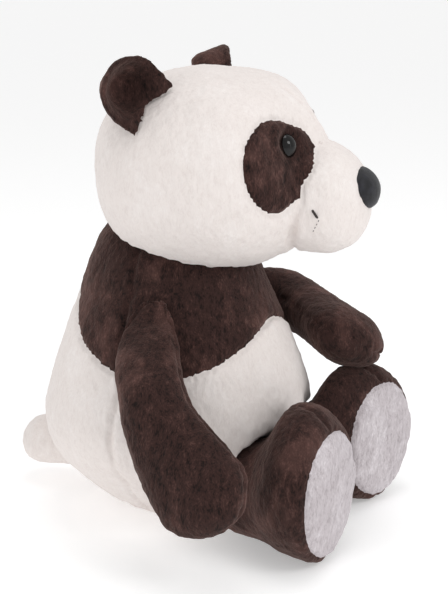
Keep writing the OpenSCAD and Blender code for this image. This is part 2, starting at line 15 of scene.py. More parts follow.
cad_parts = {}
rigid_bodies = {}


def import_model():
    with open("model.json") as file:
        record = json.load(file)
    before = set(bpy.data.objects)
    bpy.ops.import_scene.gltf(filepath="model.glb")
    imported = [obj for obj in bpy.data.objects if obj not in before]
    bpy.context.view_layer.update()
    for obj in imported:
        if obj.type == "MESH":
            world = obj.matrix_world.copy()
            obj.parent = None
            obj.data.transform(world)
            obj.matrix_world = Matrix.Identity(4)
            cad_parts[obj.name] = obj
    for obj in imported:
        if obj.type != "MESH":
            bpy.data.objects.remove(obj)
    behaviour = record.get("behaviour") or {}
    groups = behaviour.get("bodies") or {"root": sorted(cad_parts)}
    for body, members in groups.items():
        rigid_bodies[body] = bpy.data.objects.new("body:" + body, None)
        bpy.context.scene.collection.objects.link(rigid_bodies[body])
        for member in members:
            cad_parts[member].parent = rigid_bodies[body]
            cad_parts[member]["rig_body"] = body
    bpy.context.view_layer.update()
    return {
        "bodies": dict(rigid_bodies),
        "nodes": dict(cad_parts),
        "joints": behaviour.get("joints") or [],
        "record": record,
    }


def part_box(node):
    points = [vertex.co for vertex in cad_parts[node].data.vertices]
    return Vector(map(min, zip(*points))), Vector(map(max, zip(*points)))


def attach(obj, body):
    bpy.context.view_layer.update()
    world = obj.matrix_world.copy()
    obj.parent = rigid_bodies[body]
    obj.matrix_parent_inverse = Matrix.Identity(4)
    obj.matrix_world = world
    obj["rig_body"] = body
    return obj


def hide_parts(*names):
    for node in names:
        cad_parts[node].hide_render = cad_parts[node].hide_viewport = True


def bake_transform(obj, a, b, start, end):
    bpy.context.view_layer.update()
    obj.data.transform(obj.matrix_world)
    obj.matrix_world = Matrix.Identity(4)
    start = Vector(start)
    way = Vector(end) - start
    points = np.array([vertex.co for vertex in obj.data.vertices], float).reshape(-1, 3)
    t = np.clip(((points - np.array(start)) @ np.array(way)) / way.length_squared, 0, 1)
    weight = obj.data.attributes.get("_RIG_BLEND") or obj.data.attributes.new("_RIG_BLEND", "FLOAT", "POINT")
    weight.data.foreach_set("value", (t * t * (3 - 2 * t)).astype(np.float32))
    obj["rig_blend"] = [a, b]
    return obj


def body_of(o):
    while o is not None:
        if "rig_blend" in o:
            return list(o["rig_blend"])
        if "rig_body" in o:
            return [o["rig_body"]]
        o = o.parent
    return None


logging.basicConfig(level=logging.INFO, format="%(levelname)s %(message)s")
LOG = logging.getLogger("panda")

Colour = tuple[float, float, float]
Point = tuple[float, float, float]


class Side(Enum):
    """The toy's own left is +X."""

    LEFT = 1
    RIGHT = -1

    @property
    def word(self) -> str:
        """The side's name as the frame writes it."""
        return self.name.lower()


# ---------------------------------------------------------------- shader helpers
def paint(red: int, green: int, blue: int) -> Colour:
    """A screen colour from 0 to 255 as the linear colour that a shader takes.

    Args:
        red: Red share.
        green: Green share.
        blue: Blue share.

    Returns:
        The linear colour.
    """
    def one(value: int) -> float:
        """One share, made linear."""
        v = value / 255
        return v / 12.92 if v <= 0.04045 else ((v + 0.055) / 1.055) ** 2.4

    return one(red), one(green), one(blue)


@dataclass
class Value:
    """A number that a node gives, with the usual operators."""

    graph: "Graph"
    socket: bpy.types.NodeSocket

    def _maths(self, operation: str, *others: "Value | float", swap: bool = False) -> "Value":
        """Adds one Math node.

        Args:
            operation: The node's operation.
            others: The other terms.
            swap: True if this value comes second.

        Returns:
            The node's value.
        """
        terms = [self, *others]
        if swap:
            terms.reverse()
        return self.graph.number("ShaderNodeMath", {"operation": operation}, dict(enumerate(terms)))

    def __add__(self, other: "Value | float") -> "Value":
        """Sum."""
        return self._maths("ADD", other)

    __radd__ = __add__

    def __sub__(self, other: "Value | float") -> "Value":
        """Difference."""
        return self._maths("SUBTRACT", other)

    def __rsub__(self, other: "Value | float") -> "Value":
        """Difference the other way round."""
        return self._maths("SUBTRACT", other, swap=True)

    def __mul__(self, other: "Value | float") -> "Value":
        """Product."""
        return self._maths("MULTIPLY", other)

    __rmul__ = __mul__

    def sine(self) -> "Value":
        """The sine of this value."""
        return self._maths("SINE")

    def ramp(self, low: float, high: float) -> "Value":
        """A smooth step from 0 at low to 1 at high.

        Args:
            low: Where the step starts.
            high: Where it ends.

        Returns:
            The stepped value.
        """
        return self.graph.number(
            "ShaderNodeMapRange",
            {"interpolation_type": "SMOOTHSTEP", "clamp": True},
            {"Value": self, "From Min": low, "From Max": high},
        )


class Graph:
    """A material's node tree, built one node at a time."""

    def __init__(self, name: str) -> None:
        """Starts a material with its shader.

        Args:
            name: The material's name.
        """
        self.material = bpy.data.materials.new(name)
        self.material.use_nodes = True
        self.tree = self.material.node_tree
        self.shader = self.tree.nodes["Principled BSDF"]

    def add(
        self, kind: str, settings: dict[str, object], inputs: dict[str | int, object]
    ) -> bpy.types.Node:
        """Adds a node, sets it up and fills its sockets.

        Args:
            kind: The node's type.
            settings: Properties that are set before the sockets.
            inputs: A value, a Value or a socket for each input.

        Returns:
            The node.
        """
        node = self.tree.nodes.new(kind)
        for key, value in settings.items():
            setattr(node, key, value)
        for key, value in inputs.items():
            self.feed(node.inputs[key], value)
        return node

    def feed(self, socket: bpy.types.NodeSocket, value: object) -> None:
        """Links or sets one socket.

        Args:
            socket: The input.
            value: A Value, a socket, a number or a colour.
        """
        if isinstance(value, Value):
            self.tree.links.new(value.socket, socket)
        elif isinstance(value, bpy.types.NodeSocket):
            self.tree.links.new(value, socket)
        elif isinstance(value, tuple) and socket.type == "RGBA":
            socket.default_value = (*value, 1.0)
        else:
            socket.default_value = value

    def number(
        self, kind: str, settings: dict[str, object], inputs: dict[str | int, object]
    ) -> Value:
        """Adds a node and gives its first number, with the arguments of add."""
        return Value(self, self.add(kind, settings, inputs).outputs[0])

    def place(self, stretch: Point = (1, 1, 1)) -> bpy.types.NodeSocket:
        """The point on the piece, stretched.

        Args:
            stretch: Factor for each axis.

        Returns:
            The vector socket.
        """
        where = self.add("ShaderNodeTexCoord", {}, {}).outputs["Object"]
        if stretch == (1, 1, 1):
            return where
        return self.add("ShaderNodeMapping", {}, {"Vector": where, "Scale": stretch}).outputs[0]

    def shifted(
        self, where: bpy.types.NodeSocket, size: float, amount: float
    ) -> bpy.types.NodeSocket:
        """Points pushed about by a soft noise, so that a pattern swirls.

        Args:
            where: The points.
            size: Size of the swirls in metres.
            amount: How far the points move in metres.

        Returns:
            The moved points.
        """
        noise = self.add("ShaderNodeTexNoise", {}, {"Vector": where, "Scale": 1 / size, "Detail": 1.0})
        half = self.add(
            "ShaderNodeVectorMath", {"operation": "SUBTRACT"}, {0: noise.outputs["Color"], 1: (0.5, 0.5, 0.5)}
        )
        far = self.add(
            "ShaderNodeVectorMath", {"operation": "SCALE"}, {0: half.outputs[0], "Scale": amount * 2}
        )
        return self.add(
            "ShaderNodeVectorMath", {"operation": "ADD"}, {0: where, 1: far.outputs[0]}
        ).outputs[0]

    def noise(self, where: bpy.types.NodeSocket, size: float, detail: float = 2.0) -> Value:
        """Noise of a given grain.

        Args:
            where: The points.
            size: Size of the grain in metres.
            detail: Octaves.

        Returns:
            The noise, about 0 to 1.
        """
        grain = {"Vector": where, "Scale": 1 / size, "Detail": detail, "Roughness": 0.55}
        return self.number("ShaderNodeTexNoise", {}, grain)

    def blend(self, share: Value | float, first: object, second: object) -> bpy.types.NodeSocket:
        """One colour into another.

        Args:
            share: 0 for the first, 1 for the second.
            first: A colour or socket.
            second: A colour or socket.

        Returns:
            The mixed colour.
        """
        node = self.add("ShaderNodeMix", {"data_type": "RGBA"}, {0: share, 6: first, 7: second})
        return node.outputs[2]

    def raise_by(self, height: Value, depth: float, strength: float) -> None:
        """Feeds the shader's normal from a height.

        Args:
            height: The height, about 0 to 1.
            depth: What a height of 1 stands for, in metres.
            strength: The bump's strength.
        """
        node = self.add(
            "ShaderNodeBump", {}, {"Height": height, "Distance": depth, "Strength": strength}
        )
        self.feed(self.shader.inputs["Normal"], node.outputs[0])

    def constants(self, **values: object) -> None:
        """Sets the shader's own sockets.

        Args:
            values: Socket names, with _ for a space.
        """
        for key, value in values.items():
            self.feed(self.shader.inputs[key.replace("_", " ")], value)


@dataclass(frozen=True)
class Plush:
    """Short dense pile, with painted shade deep between the fibres, a painted highlight at their tips and
    painted sheen on patches of crushed pile.
    """

    name: str
    # The first colour is painted shade deep in the pile; the third is a painted highlight at the fibre tips.
    root: Colour
    body: Colour
    tip: Colour
    sheen: float
    sheen_tint: Colour
    # How much of the painted highlight the high parts of the pile take.
    tip_share: float = 0.5
    # How much painted sheen the patches of crushed pile take.
    mottle: float = 0.35
    depth: float = 0.0016
    strength: float = 0.75

    def material(self) -> bpy.types.Material:
        """The pile's material.

        Returns:
            The material.
        """
        g = Graph(self.name)
        place = g.shifted(g.place(), 0.022, 0.004)
        run = g.add("ShaderNodeMapping", {}, {"Vector": place, "Scale": (1, 1, 0.38)}).outputs[0]
        fibre = g.noise(run, 0.0011, 2.0)
        tuft = g.noise(run, 0.0034, 2.0)
        clump = g.noise(place, 0.009, 2.0)
        # Patches of crushed pile, which are painted brighter as sheen.
        crush_sheen = g.noise(g.place((1, 1, 0.7)), 0.034, 2.0)
        height = fibre * 0.42 + tuft * 0.38 + clump * 0.2
        # Painted shade: the low parts of the pile take the dark colour.
        low = g.blend(height.ramp(0.36, 0.52), self.root, self.body)
        # Painted highlight on the high parts of the pile, plus painted sheen on patches of crushed pile.
        painted_light = height.ramp(0.5, 0.66) * self.tip_share + crush_sheen.ramp(0.45, 0.72) * self.mottle
        g.feed(g.shader.inputs["Base Color"], g.blend(painted_light.ramp(0, 1.0), low, self.tip))
        g.raise_by(height, self.depth, self.strength)
        g.constants(
            Roughness=0.92, Sheen_Weight=self.sheen, Sheen_Roughness=0.45,
            Sheen_Tint=self.sheen_tint, Specular_IOR_Level=0.18,
        )
        return g.material


@dataclass(frozen=True)
class Satin:
    """Close smooth cloth with a faint weave, for the nose."""

    name: str
    shade: Colour
    lit: Colour

    def material(self) -> bpy.types.Material:
        """The cloth's material.

        Returns:
            The material.
        """
        g = Graph(self.name)
        where = g.place()
        parts = g.add("ShaderNodeSeparateXYZ", {}, {0: where})
        across = Value(g, parts.outputs["X"]) * (2 * math.pi / 0.0011)
        up = Value(g, parts.outputs["Z"]) * (2 * math.pi / 0.0011)
        weave = across.sine() * up.sine() * 0.5 + 0.5
        cloud = g.noise(where, 0.008, 3.0)
        g.feed(g.shader.inputs["Base Color"], g.blend(cloud.ramp(0.3, 0.7), self.shade, self.lit))
        g.feed(g.shader.inputs["Roughness"], cloud * 0.2 + 0.42)
        g.raise_by(weave * 0.6 + cloud * 0.4, 0.0004, 0.35)
        g.constants(Sheen_Weight=0.06, Sheen_Roughness=0.4, Specular_IOR_Level=0.3)
        return g.material


@dataclass(frozen=True)
class Gloss:
    """Moulded plastic or nylon, with faint handling marks."""

    name: str
    tint: Colour
    rough: float
    coat: float

    def material(self) -> bpy.types.Material:
        """The plastic's material.

        Returns:
            The material.
        """
        g = Graph(self.name)
        where = g.place()
        haze = g.noise(where, 0.004, 3.0)
        marks = g.blend(haze.ramp(0.35, 0.75) * 0.25, self.tint, (0.02, 0.018, 0.018))
        g.feed(g.shader.inputs["Base Color"], marks)
        g.feed(g.shader.inputs["Roughness"], haze * 0.06 + self.rough)
        g.constants(Coat_Weight=self.coat, Coat_Roughness=0.03, Specular_IOR_Level=0.35)
        return g.material


@dataclass(frozen=True)
class Thread:
    """Plied sewing thread."""

    name: str
    shade: Colour
    lit: Colour

    def material(self) -> bpy.types.Material:
        """The thread's material.

        Returns:
            The material.
        """
        g = Graph(self.name)
        parts = g.add("ShaderNodeSeparateXYZ", {}, {0: g.place()})
        slant = Value(g, parts.outputs["X"]) + Value(g, parts.outputs["Y"]) + Value(g, parts.outputs["Z"])
        ply = (slant * (2 * math.pi / 0.0009)).sine() * 0.5 + 0.5
        g.feed(g.shader.inputs["Base Color"], g.blend(ply, self.shade, self.lit))
        g.raise_by(ply, 0.0003, 0.6)
        g.constants(Roughness=0.75, Sheen_Weight=0.2)
        return g.material


@dataclass(frozen=True)
class Sweep:
    """Pale studio paper."""

    name: str
    tint: Colour

    def material(self) -> bpy.types.Material:
        """The paper's material.

        Returns:
            The material.
        """
        g = Graph(self.name)
        grain = g.noise(g.place(), 0.02, 2.0)
        g.feed(g.shader.inputs["Base Color"], g.blend(grain * 0.02, self.tint, (1, 1, 1)))
        g.constants(Roughness=0.9, Specular_IOR_Level=0.1, Emission_Color=(1, 1, 1), Emission_Strength=0.32)
        return g.material


# ---------------------------------------------------------------- mesh helpers
def points_of(obj: bpy.types.Object) -> np.ndarray:
    """The piece's points.

    Args:
        obj: A mesh object.

    Returns:
        An array of n by 3.
    """
    out = np.empty(len(obj.data.vertices) * 3, np.float64)
    obj.data.vertices.foreach_get("co", out)
    return out.reshape(-1, 3)


def move_points(obj: bpy.types.Object, points: np.ndarray) -> None:
    """Puts the piece's points at new places.

    Args:
        obj: A mesh object.
        points: The places.
    """
    obj.data.vertices.foreach_set("co", points.astype(np.float32).ravel())
    obj.data.update()


def normals_of(obj: bpy.types.Object) -> np.ndarray:
    """The piece's point normals.

    Args:
        obj: A mesh object.

    Returns:
        An array of n by 3.
    """
    out = np.empty(len(obj.data.vertices) * 3, np.float32)
    obj.data.vertex_normals.foreach_get("vector", out)
    return out.reshape(-1, 3).astype(float)


def quads_of(obj: bpy.types.Object) -> np.ndarray:
    """The piece's faces, all of four corners.

    Args:
        obj: A mesh object of quads.

    Returns:
        An array of n by 4.
    """
    out = np.empty(len(obj.data.loops), np.int32)
    obj.data.loops.foreach_get("vertex_index", out)
    return out.reshape(-1, 4)


def panels_of(obj: bpy.types.Object) -> np.ndarray:
    """The panel number of each face."""
    out = np.empty(len(obj.data.polygons), np.int32)
    obj.data.polygons.foreach_get("material_index", out)
    return out


def only(obj: bpy.types.Object) -> None:
    """Selects one object and nothing else."""
    for other in bpy.context.selected_objects:
        other.select_set(False)
    obj.select_set(True)
    bpy.context.view_layer.objects.active = obj


def finish_modifier(obj: bpy.types.Object, kind: str, **settings: object) -> None:
    """Adds a modifier and applies it.

    Args:
        obj: The piece.
        kind: The modifier's type.
        settings: Its properties.
    """
    only(obj)
    mod = obj.modifiers.new(kind.lower(), kind)
    for key, value in settings.items():
        setattr(mod, key, value)
    bpy.ops.object.modifier_apply(modifier=mod.name)


def subdivided(obj: bpy.types.Object, levels: int) -> None:
    """Rounds a piece by Catmull-Clark subdivision."""
    finish_modifier(obj, "SUBSURF", levels=levels, render_levels=levels)


def copied(nodes: list[str], frame: dict, name: str) -> bpy.types.Object:
    """One new object from copies of frame nodes, with doubles merged.

    Args:
        nodes: The nodes' names.
        name: The new object's name.

    Returns:
        The object.
    """
    made = []
    for node in nodes:
        obj = bpy.data.objects.new(node + "_copy", frame["nodes"][node].data.copy())
        bpy.context.scene.collection.objects.link(obj)
        made.append(obj)
    only(made[0])
    for obj in made[1:]:
        obj.select_set(True)
    if len(made) > 1:
        bpy.ops.object.join()
    obj = made[0]
    obj.name = obj.data.name = name
    obj.data.materials.clear()
    only(obj)
    bpy.ops.object.mode_set(mode="EDIT")
    bpy.ops.mesh.select_all(action="SELECT")
    bpy.ops.mesh.remove_doubles(threshold=0.00001)
    bpy.ops.mesh.normals_make_consistent(inside=False)
    bpy.ops.object.mode_set(mode="OBJECT")
    return obj


def stand_in(obj: bpy.types.Object, node: str, frame: dict) -> None:
    """Puts a piece in a frame node's place, on the node's body.

    Args:
        obj: The piece.
        node: The frame node it stands for.
    """
    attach(obj, body_of(frame["nodes"][node])[0])
    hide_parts(node)


def tree_of(obj: bpy.types.Object) -> BVHTree:
    """A search tree over a piece's faces."""
    faces = [tuple(p.vertices) for p in obj.data.polygons]
    return BVHTree.FromPolygons([v.co.copy() for v in obj.data.vertices], faces)


def lumps(points: np.ndarray, size: float, seed: int) -> np.ndarray:
    """Smooth noise that is the same on every run.

    Args:
        points: Where it is read.
        size: Size of its lumps in metres.
        seed: Which noise.

    Returns:
        Values from -1 to 1.
    """
    p = points / size + seed * 17.31
    cell = np.floor(p).astype(np.int64)
    f = p - cell
    u = f * f * (3 - 2 * f)
    total = np.zeros(len(p))
    for dx in (0, 1):
        for dy in (0, 1):
            for dz in (0, 1):
                h = (cell[:, 0] + dx) * 73856093 ^ (cell[:, 1] + dy) * 19349663 ^ (cell[:, 2] + dz) * 83492791
                h = (h ^ (h >> 13)) * 1274126177 & 0x7FFFFFFF
                h = (h ^ (h >> 16)) & 0xFFFF
                w = (
                    (u[:, 0] if dx else 1 - u[:, 0])
                    * (u[:, 1] if dy else 1 - u[:, 1])
                    * (u[:, 2] if dz else 1 - u[:, 2])
                )
                total += w * (h / 32767.5 - 1)
    return total


def hill(distance: np.ndarray, width: float) -> np.ndarray:
    """A soft hill of height 1 at distance 0."""
    return np.exp(-((distance / width) ** 2))


HEAD_YAW = 4.0


def mirrored(points: np.ndarray) -> np.ndarray:
    """Points mirrored in the head's middle plane, which stands through the neck's axis."""
    turn = math.radians(HEAD_YAW)
    way = np.array((math.sin(turn), -math.cos(turn)))
    out = np.array(points, float)
    flat = out[:, :2].copy()
    out[:, :2] = 2 * (flat @ way)[:, None] * way - flat
    return out


def step(value: np.ndarray, low: float, high: float) -> np.ndarray:
    """A smooth step from 0 at low to 1 at high."""
    t = np.clip((value - low) / (high - low), 0, 1)
    return t * t * (3 - 2 * t)


# ---------------------------------------------------------------- stuffed forms
@dataclass
class Padding:
    """How a stuffed form is filled and finished."""

    voxel: float = 0.0055
    pressure: float = 4.0
    frames: int = 20
    cap: float = 0.005
    groove: float = 0.0018
    groove_width: float = 0.0032
    lump: float = 0.0013
    nap: float = 0.00038
    fill: float = 0.8


@dataclass
class Stuffed:
    """A stuffed form: one skin over the filling, cut into its panels along the seams."""

    frame: dict
    filling: str
    panels: dict[str, str]
    pad: Padding = field(default_factory=Padding)
    seed: int = 1

    def sources(self) -> list[str]:
        """The frame nodes the skin is made from."""
        return [self.filling, *self.panels]

    def build(self) -> bpy.types.Object:
        """Makes the whole skin, swelled, grooved and napped.

        Returns:
            The skin, its faces numbered by panel.
        """
        skin = copied(self.sources(), self.frame, self.filling + "_skin")
        finish_modifier(skin, "REMESH", mode="VOXEL", voxel_size=self.pad.voxel)
        keep_outside(skin)
        self.mark(skin)
        self.swell(skin)
        subdivided(skin, 1)
        self.even_seams(skin)
        self.shape(skin)
        subdivided(skin, 1)
        self.sew(skin)
        self.fluff(skin)
        return skin

    def mark(self, skin: bpy.types.Object) -> None:
        """Numbers each face by the panel it lies on, without stray islands.

        Args:
            skin: The skin.
        """
        trees = [tree_of(self.frame["nodes"][n]) for n in self.panels]
        for _ in trees:
            skin.data.materials.append(None)
        faces = skin.data.polygons
        panel = np.zeros(len(faces), np.int32)
        for i, face in enumerate(faces):
            far = [t.find_nearest(face.center)[3] or 1.0 for t in trees]
            panel[i] = int(np.argmin(far))
        centres = np.empty(len(faces) * 3)
        faces.foreach_get("center", centres)
        panel = self.overlay(panel, centres.reshape(-1, 3))
        faces.foreach_set("material_index", self.without_islands(quads_of(skin), panel))

    def overlay(self, panel: np.ndarray, centres: np.ndarray) -> np.ndarray:
        """Changes panel numbers where a panel has its own outline.

        Args:
            panel: The number of each face.
            centres: The middle of each face.

        Returns:
            The numbers.
        """
        return panel

    @staticmethod
    def without_islands(quads: np.ndarray, panel: np.ndarray) -> np.ndarray:
        """Gives small stray groups of faces to the panel around them.

        Args:
            quads: The faces.
            panel: The number of each face.

        Returns:
            The numbers.
        """
        owners: dict[tuple[int, int], list[int]] = {}
        for i, q in enumerate(quads.tolist()):
            for k in range(4):
                a, b = q[k], q[(k + 1) % 4]
                owners.setdefault((min(a, b), max(a, b)), []).append(i)
        beside: list[list[int]] = [[] for _ in quads]
        for pair in owners.values():
            if len(pair) == 2:
                beside[pair[0]].append(pair[1])
                beside[pair[1]].append(pair[0])
        panel = panel.copy()
        for _ in range(6):
            group = np.full(len(quads), -1)
            groups: list[list[int]] = []
            for start in range(len(quads)):
                if group[start] >= 0:
                    continue
                members, todo = [], [start]
                group[start] = len(groups)
                while todo:
                    f = todo.pop()
                    members.append(f)
                    for n in beside[f]:
                        if group[n] < 0 and panel[n] == panel[f]:
                            group[n] = len(groups)
                            todo.append(n)
                groups.append(members)
            best: dict[int, int] = {}
            for members in groups:
                k = int(panel[members[0]])
                best[k] = max(best.get(k, 0), len(members))
            stray = [m for m in groups if len(m) < best[int(panel[m[0]])]]
            if not stray:
                break
            for members in stray:
                votes = [int(panel[n]) for f in members for n in beside[f] if panel[n] != panel[f]]
                if votes:
                    panel[members] = max(sorted(set(votes)), key=votes.count)
        for _ in range(4):
            new = panel.copy()
            for i, near in enumerate(beside):
                other = [int(panel[n]) for n in near if panel[n] != panel[i]]
                if len(other) >= 3:
                    new[i] = max(sorted(set(other)), key=other.count)
            panel = new
        return panel

    def seam_points(self, skin: bpy.types.Object) -> dict[int, set[int]]:
        """The points on seams, each with its neighbours along the seam.

        Args:
            skin: The skin.

        Returns:
            Neighbours by point.
        """
        quads, panel = quads_of(skin), panels_of(skin)
        edges = np.concatenate([quads[:, [i, (i + 1) % 4]] for i in range(4)])
        owner = np.tile(panel, 4)
        edges.sort(axis=1)
        order = np.lexsort((edges[:, 1], edges[:, 0]))
        edges, owner = edges[order], owner[order]
        same = (edges[1:] == edges[:-1]).all(axis=1) & (owner[1:] != owner[:-1])
        found: dict[int, set[int]] = {}
        for a, b in edges[1:][same]:
            found.setdefault(int(a), set()).add(int(b))
            found.setdefault(int(b), set()).add(int(a))
        return found

    def swell(self, skin: bpy.types.Object) -> None:
        """Blows the skin up between its held seams by a cloth simulation.

        Args:
            skin: The skin.
        """
        before = points_of(skin)
        group = skin.vertex_groups.new(name="seams")
        group.add(sorted(self.seam_points(skin)), 1.0, "REPLACE")
        only(skin)
        mod = skin.modifiers.new("swell", "CLOTH")
        cloth = mod.settings
        cloth.quality = 4
        cloth.mass = 0.25
        cloth.tension_stiffness = cloth.compression_stiffness = 12
        cloth.bending_stiffness = 0.4
        cloth.use_pressure = True
        cloth.uniform_pressure_force = self.pad.pressure
        cloth.effector_weights.gravity = 0
        cloth.vertex_group_mass = group.name
        for frame in range(1, self.pad.frames + 1):
            bpy.context.scene.frame_set(frame)
        bpy.ops.object.modifier_apply(modifier=mod.name)
        bpy.context.scene.frame_set(1)
        move = points_of(skin) - before
        length = np.linalg.norm(move, axis=1, keepdims=True)
        move_points(skin, before + move * np.minimum(1, self.pad.cap / np.maximum(length, 1e-9)))
        skin.vertex_groups.clear()

    def even_seams(self, skin: bpy.types.Object) -> None:
        """Draws the stepped seams out to smooth lines.

        Args:
            skin: The skin.
        """
        near = {k: v for k, v in self.seam_points(skin).items() if len(v) == 2}
        keys = np.array(sorted(near))
        if not len(keys):
            return
        sides = np.array([sorted(near[k]) for k in keys])
        points = points_of(skin)
        for _ in range(40):
            points[keys] = points[keys] * 0.4 + points[sides].mean(axis=1) * 0.6
        edges = np.empty(len(skin.data.edges) * 2, np.int64)
        skin.data.edges.foreach_get("vertices", edges)
        a, b = edges.reshape(-1, 2).T
        free = np.ones(len(points), bool)
        free[sorted(self.seam_points(skin))] = False
        count = np.bincount(np.concatenate([a, b]), minlength=len(points))[:, None]
        for _ in range(4):
            total = np.zeros_like(points)
            np.add.at(total, a, points[b])
            np.add.at(total, b, points[a])
            points[free] = (points * 0.5 + total / np.maximum(count, 1) * 0.5)[free]
        move_points(skin, points)

    def shape(self, skin: bpy.types.Object) -> None:
        """Moves points; a form without its own shaping leaves them."""

    def sew(self, skin: bpy.types.Object) -> None:
        """Pulls the seams in, with small puckers across them.

        Args:
            skin: The skin.
        """
        seams = sorted(self.seam_points(skin))
        if not seams:
            return
        points = points_of(skin)
        tree = KDTree(len(seams))
        for i, k in enumerate(seams):
            tree.insert(points[k], i)
        tree.balance()
        far = np.array([tree.find(p)[2] for p in points])
        pull = self.seam_strength(points) * (1 + 0.35 * lumps(points, 0.013, self.seed + 5))
        pucker = 0.0007 * lumps(points, 0.0065, self.seed + 6) * hill(far, 0.009)
        depth = self.pad.groove * pull * hill(far, self.pad.groove_width) + pucker * pull
        move_points(skin, points - normals_of(skin) * depth[:, None])

    def seam_strength(self, points: np.ndarray) -> np.ndarray:
        """How deep a seam shows at each point, from 0 to 1."""
        return np.ones(len(points))

    def fluff(self, skin: bpy.types.Object) -> None:
        """Gives the skin the lumps of its filling and the nap of its pile.

        Args:
            skin: The skin.
        """
        points, normals = points_of(skin), normals_of(skin)
        high = (
            self.pad.lump * lumps(points, 0.045, self.seed)
            + self.pad.lump * 0.5 * lumps(points, 0.02, self.seed + 1)
            + self.pad.nap * 0.9 * lumps(points, 0.0075, self.seed + 2)
            + self.pad.nap * lumps(points * (1, 1, 0.6), 0.0032, self.seed + 3)
        )
        move_points(skin, points + normals * high[:, None])

    def attach(self, piece: bpy.types.Object, node: str, slot: str) -> None:
        """Puts a panel in its node's place.

        Args:
            piece: The panel.
            node: The frame node.
            slot: The material slot; not used.
        """
        stand_in(piece, node, self.frame)

    def cut(self, skin: bpy.types.Object, mats: dict[str, bpy.types.Material]) -> None:
        """Cuts the skin into its panels.

        Args:
            skin: The skin, which is removed.
            mats: The material for each of the frame's slots.
        """
        quads, panel, points = quads_of(skin), panels_of(skin), points_of(skin)
        for i, (node, slot) in enumerate(self.panels.items()):
            name = node + "_cloth"
            faces = quads[panel == i]
            if not len(faces):
                LOG.warning("panel %s has no faces", node)
                continue
            used, flat = np.unique(faces, return_inverse=True)
            mesh = bpy.data.meshes.new(name)
            mesh.from_pydata(points[used].tolist(), [], flat.reshape(-1, 4).tolist())
            piece = bpy.data.objects.new(name, mesh)
            bpy.context.scene.collection.objects.link(piece)
            only(piece)
            bpy.ops.object.shade_smooth()
            mesh.materials.append(mats[slot])
            self.attach(piece, node, slot)
            LOG.info("piece %s: %d faces", piece.name, len(faces))
        bpy.data.objects.remove(skin)


def keep_outside(obj: bpy.types.Object) -> None:
    """Removes all parts of a mesh but the largest, such as the walls of inner voids.

    Args:
        obj: A mesh object.
    """
    count = len(obj.data.vertices)
    edges = np.empty(len(obj.data.edges) * 2, np.int64)
    obj.data.edges.foreach_get("vertices", edges)
    edges = edges.reshape(-1, 2)
    mark = np.arange(count)
    while True:
        low = np.minimum(mark[edges[:, 0]], mark[edges[:, 1]])
        new = mark.copy()
        np.minimum.at(new, edges[:, 0], low)
        np.minimum.at(new, edges[:, 1], low)
        new = new[new]
        if (new == mark).all():
            break
        mark = new
    names, sizes = np.unique(mark, return_counts=True)
    keep = mark == names[np.argmax(sizes)]
    if keep.all():
        return
    only(obj)
    bpy.ops.object.mode_set(mode="EDIT")
    bpy.ops.mesh.select_all(action="DESELECT")
    bpy.ops.object.mode_set(mode="OBJECT")
    obj.data.vertices.foreach_set("select", ~keep)
    bpy.ops.object.mode_set(mode="EDIT")
    bpy.ops.mesh.delete(type="VERT")
    bpy.ops.object.mode_set(mode="OBJECT")


@dataclass(frozen=True)
class PatchOutline:
    """An eye patch's outline: an oval that swells beside the eye and is cut in beside the muzzle.

    It lies on a plane in front of the eye. Angles go up from the direction to the nose.
    """

    middle: Point = (-0.055, -0.128, 0.345)
    facing: float = 39.0
    half_width: float = 0.038
    half_height: float = 0.041
    swell: float = 0.16
    swell_at: float = 27.0
    swell_spread: float = 22.0
    bite: float = 0.36
    bite_at: float = -38.0
    bite_spread: float = 31.0
    far_side: float = 0.82

    def reach(self, angle: np.ndarray) -> np.ndarray:
        """How far the outline is from its middle.

        Args:
            angle: Directions in degrees.

        Returns:
            The distances.
        """
        turn = np.radians(angle)
        oval = 1 / np.hypot(np.cos(turn) / self.half_width, np.sin(turn) / self.half_height)
        out = self.swell * hill(angle - self.swell_at, self.swell_spread)
        return oval * (1 + out - self.bite * hill(angle - self.bite_at, self.bite_spread))

    def inside(self, points: np.ndarray, side: Side) -> np.ndarray:
        """Which points lie under the patch of one side.

        Args:
            points: Points on the head.
            side: The side.

        Returns:
            True or False for each point.
        """
        p = points if side is Side.RIGHT else mirrored(points)
        turn = math.radians(self.facing)
        d = p - np.array(self.middle)
        across = d @ np.array((math.cos(turn), -math.sin(turn), 0.0))
        if side is Side.LEFT:
            across = np.where(across > 0, across / self.far_side, across)
        depth = np.abs(d @ np.array((math.sin(turn), math.cos(turn), 0.0)))
        far = np.hypot(across, d[:, 2])
        return (far < self.reach(np.degrees(np.arctan2(d[:, 2], across)))) & (depth < 0.07)


@dataclass(frozen=True)
class Bulge:
    """A soft bulge on a skin."""

    place: Point
    rise: float
    spread: float
    stretch: Point = (1, 1, 1)

    def height(self, points: np.ndarray) -> np.ndarray:
        """How far the bulge lifts each point.

        Args:
            points: Points on the skin.

        Returns:
            The heights.
        """
        far = np.linalg.norm((points - np.array(self.place)) * self.stretch, axis=1)
        return self.rise * hill(far, self.spread)


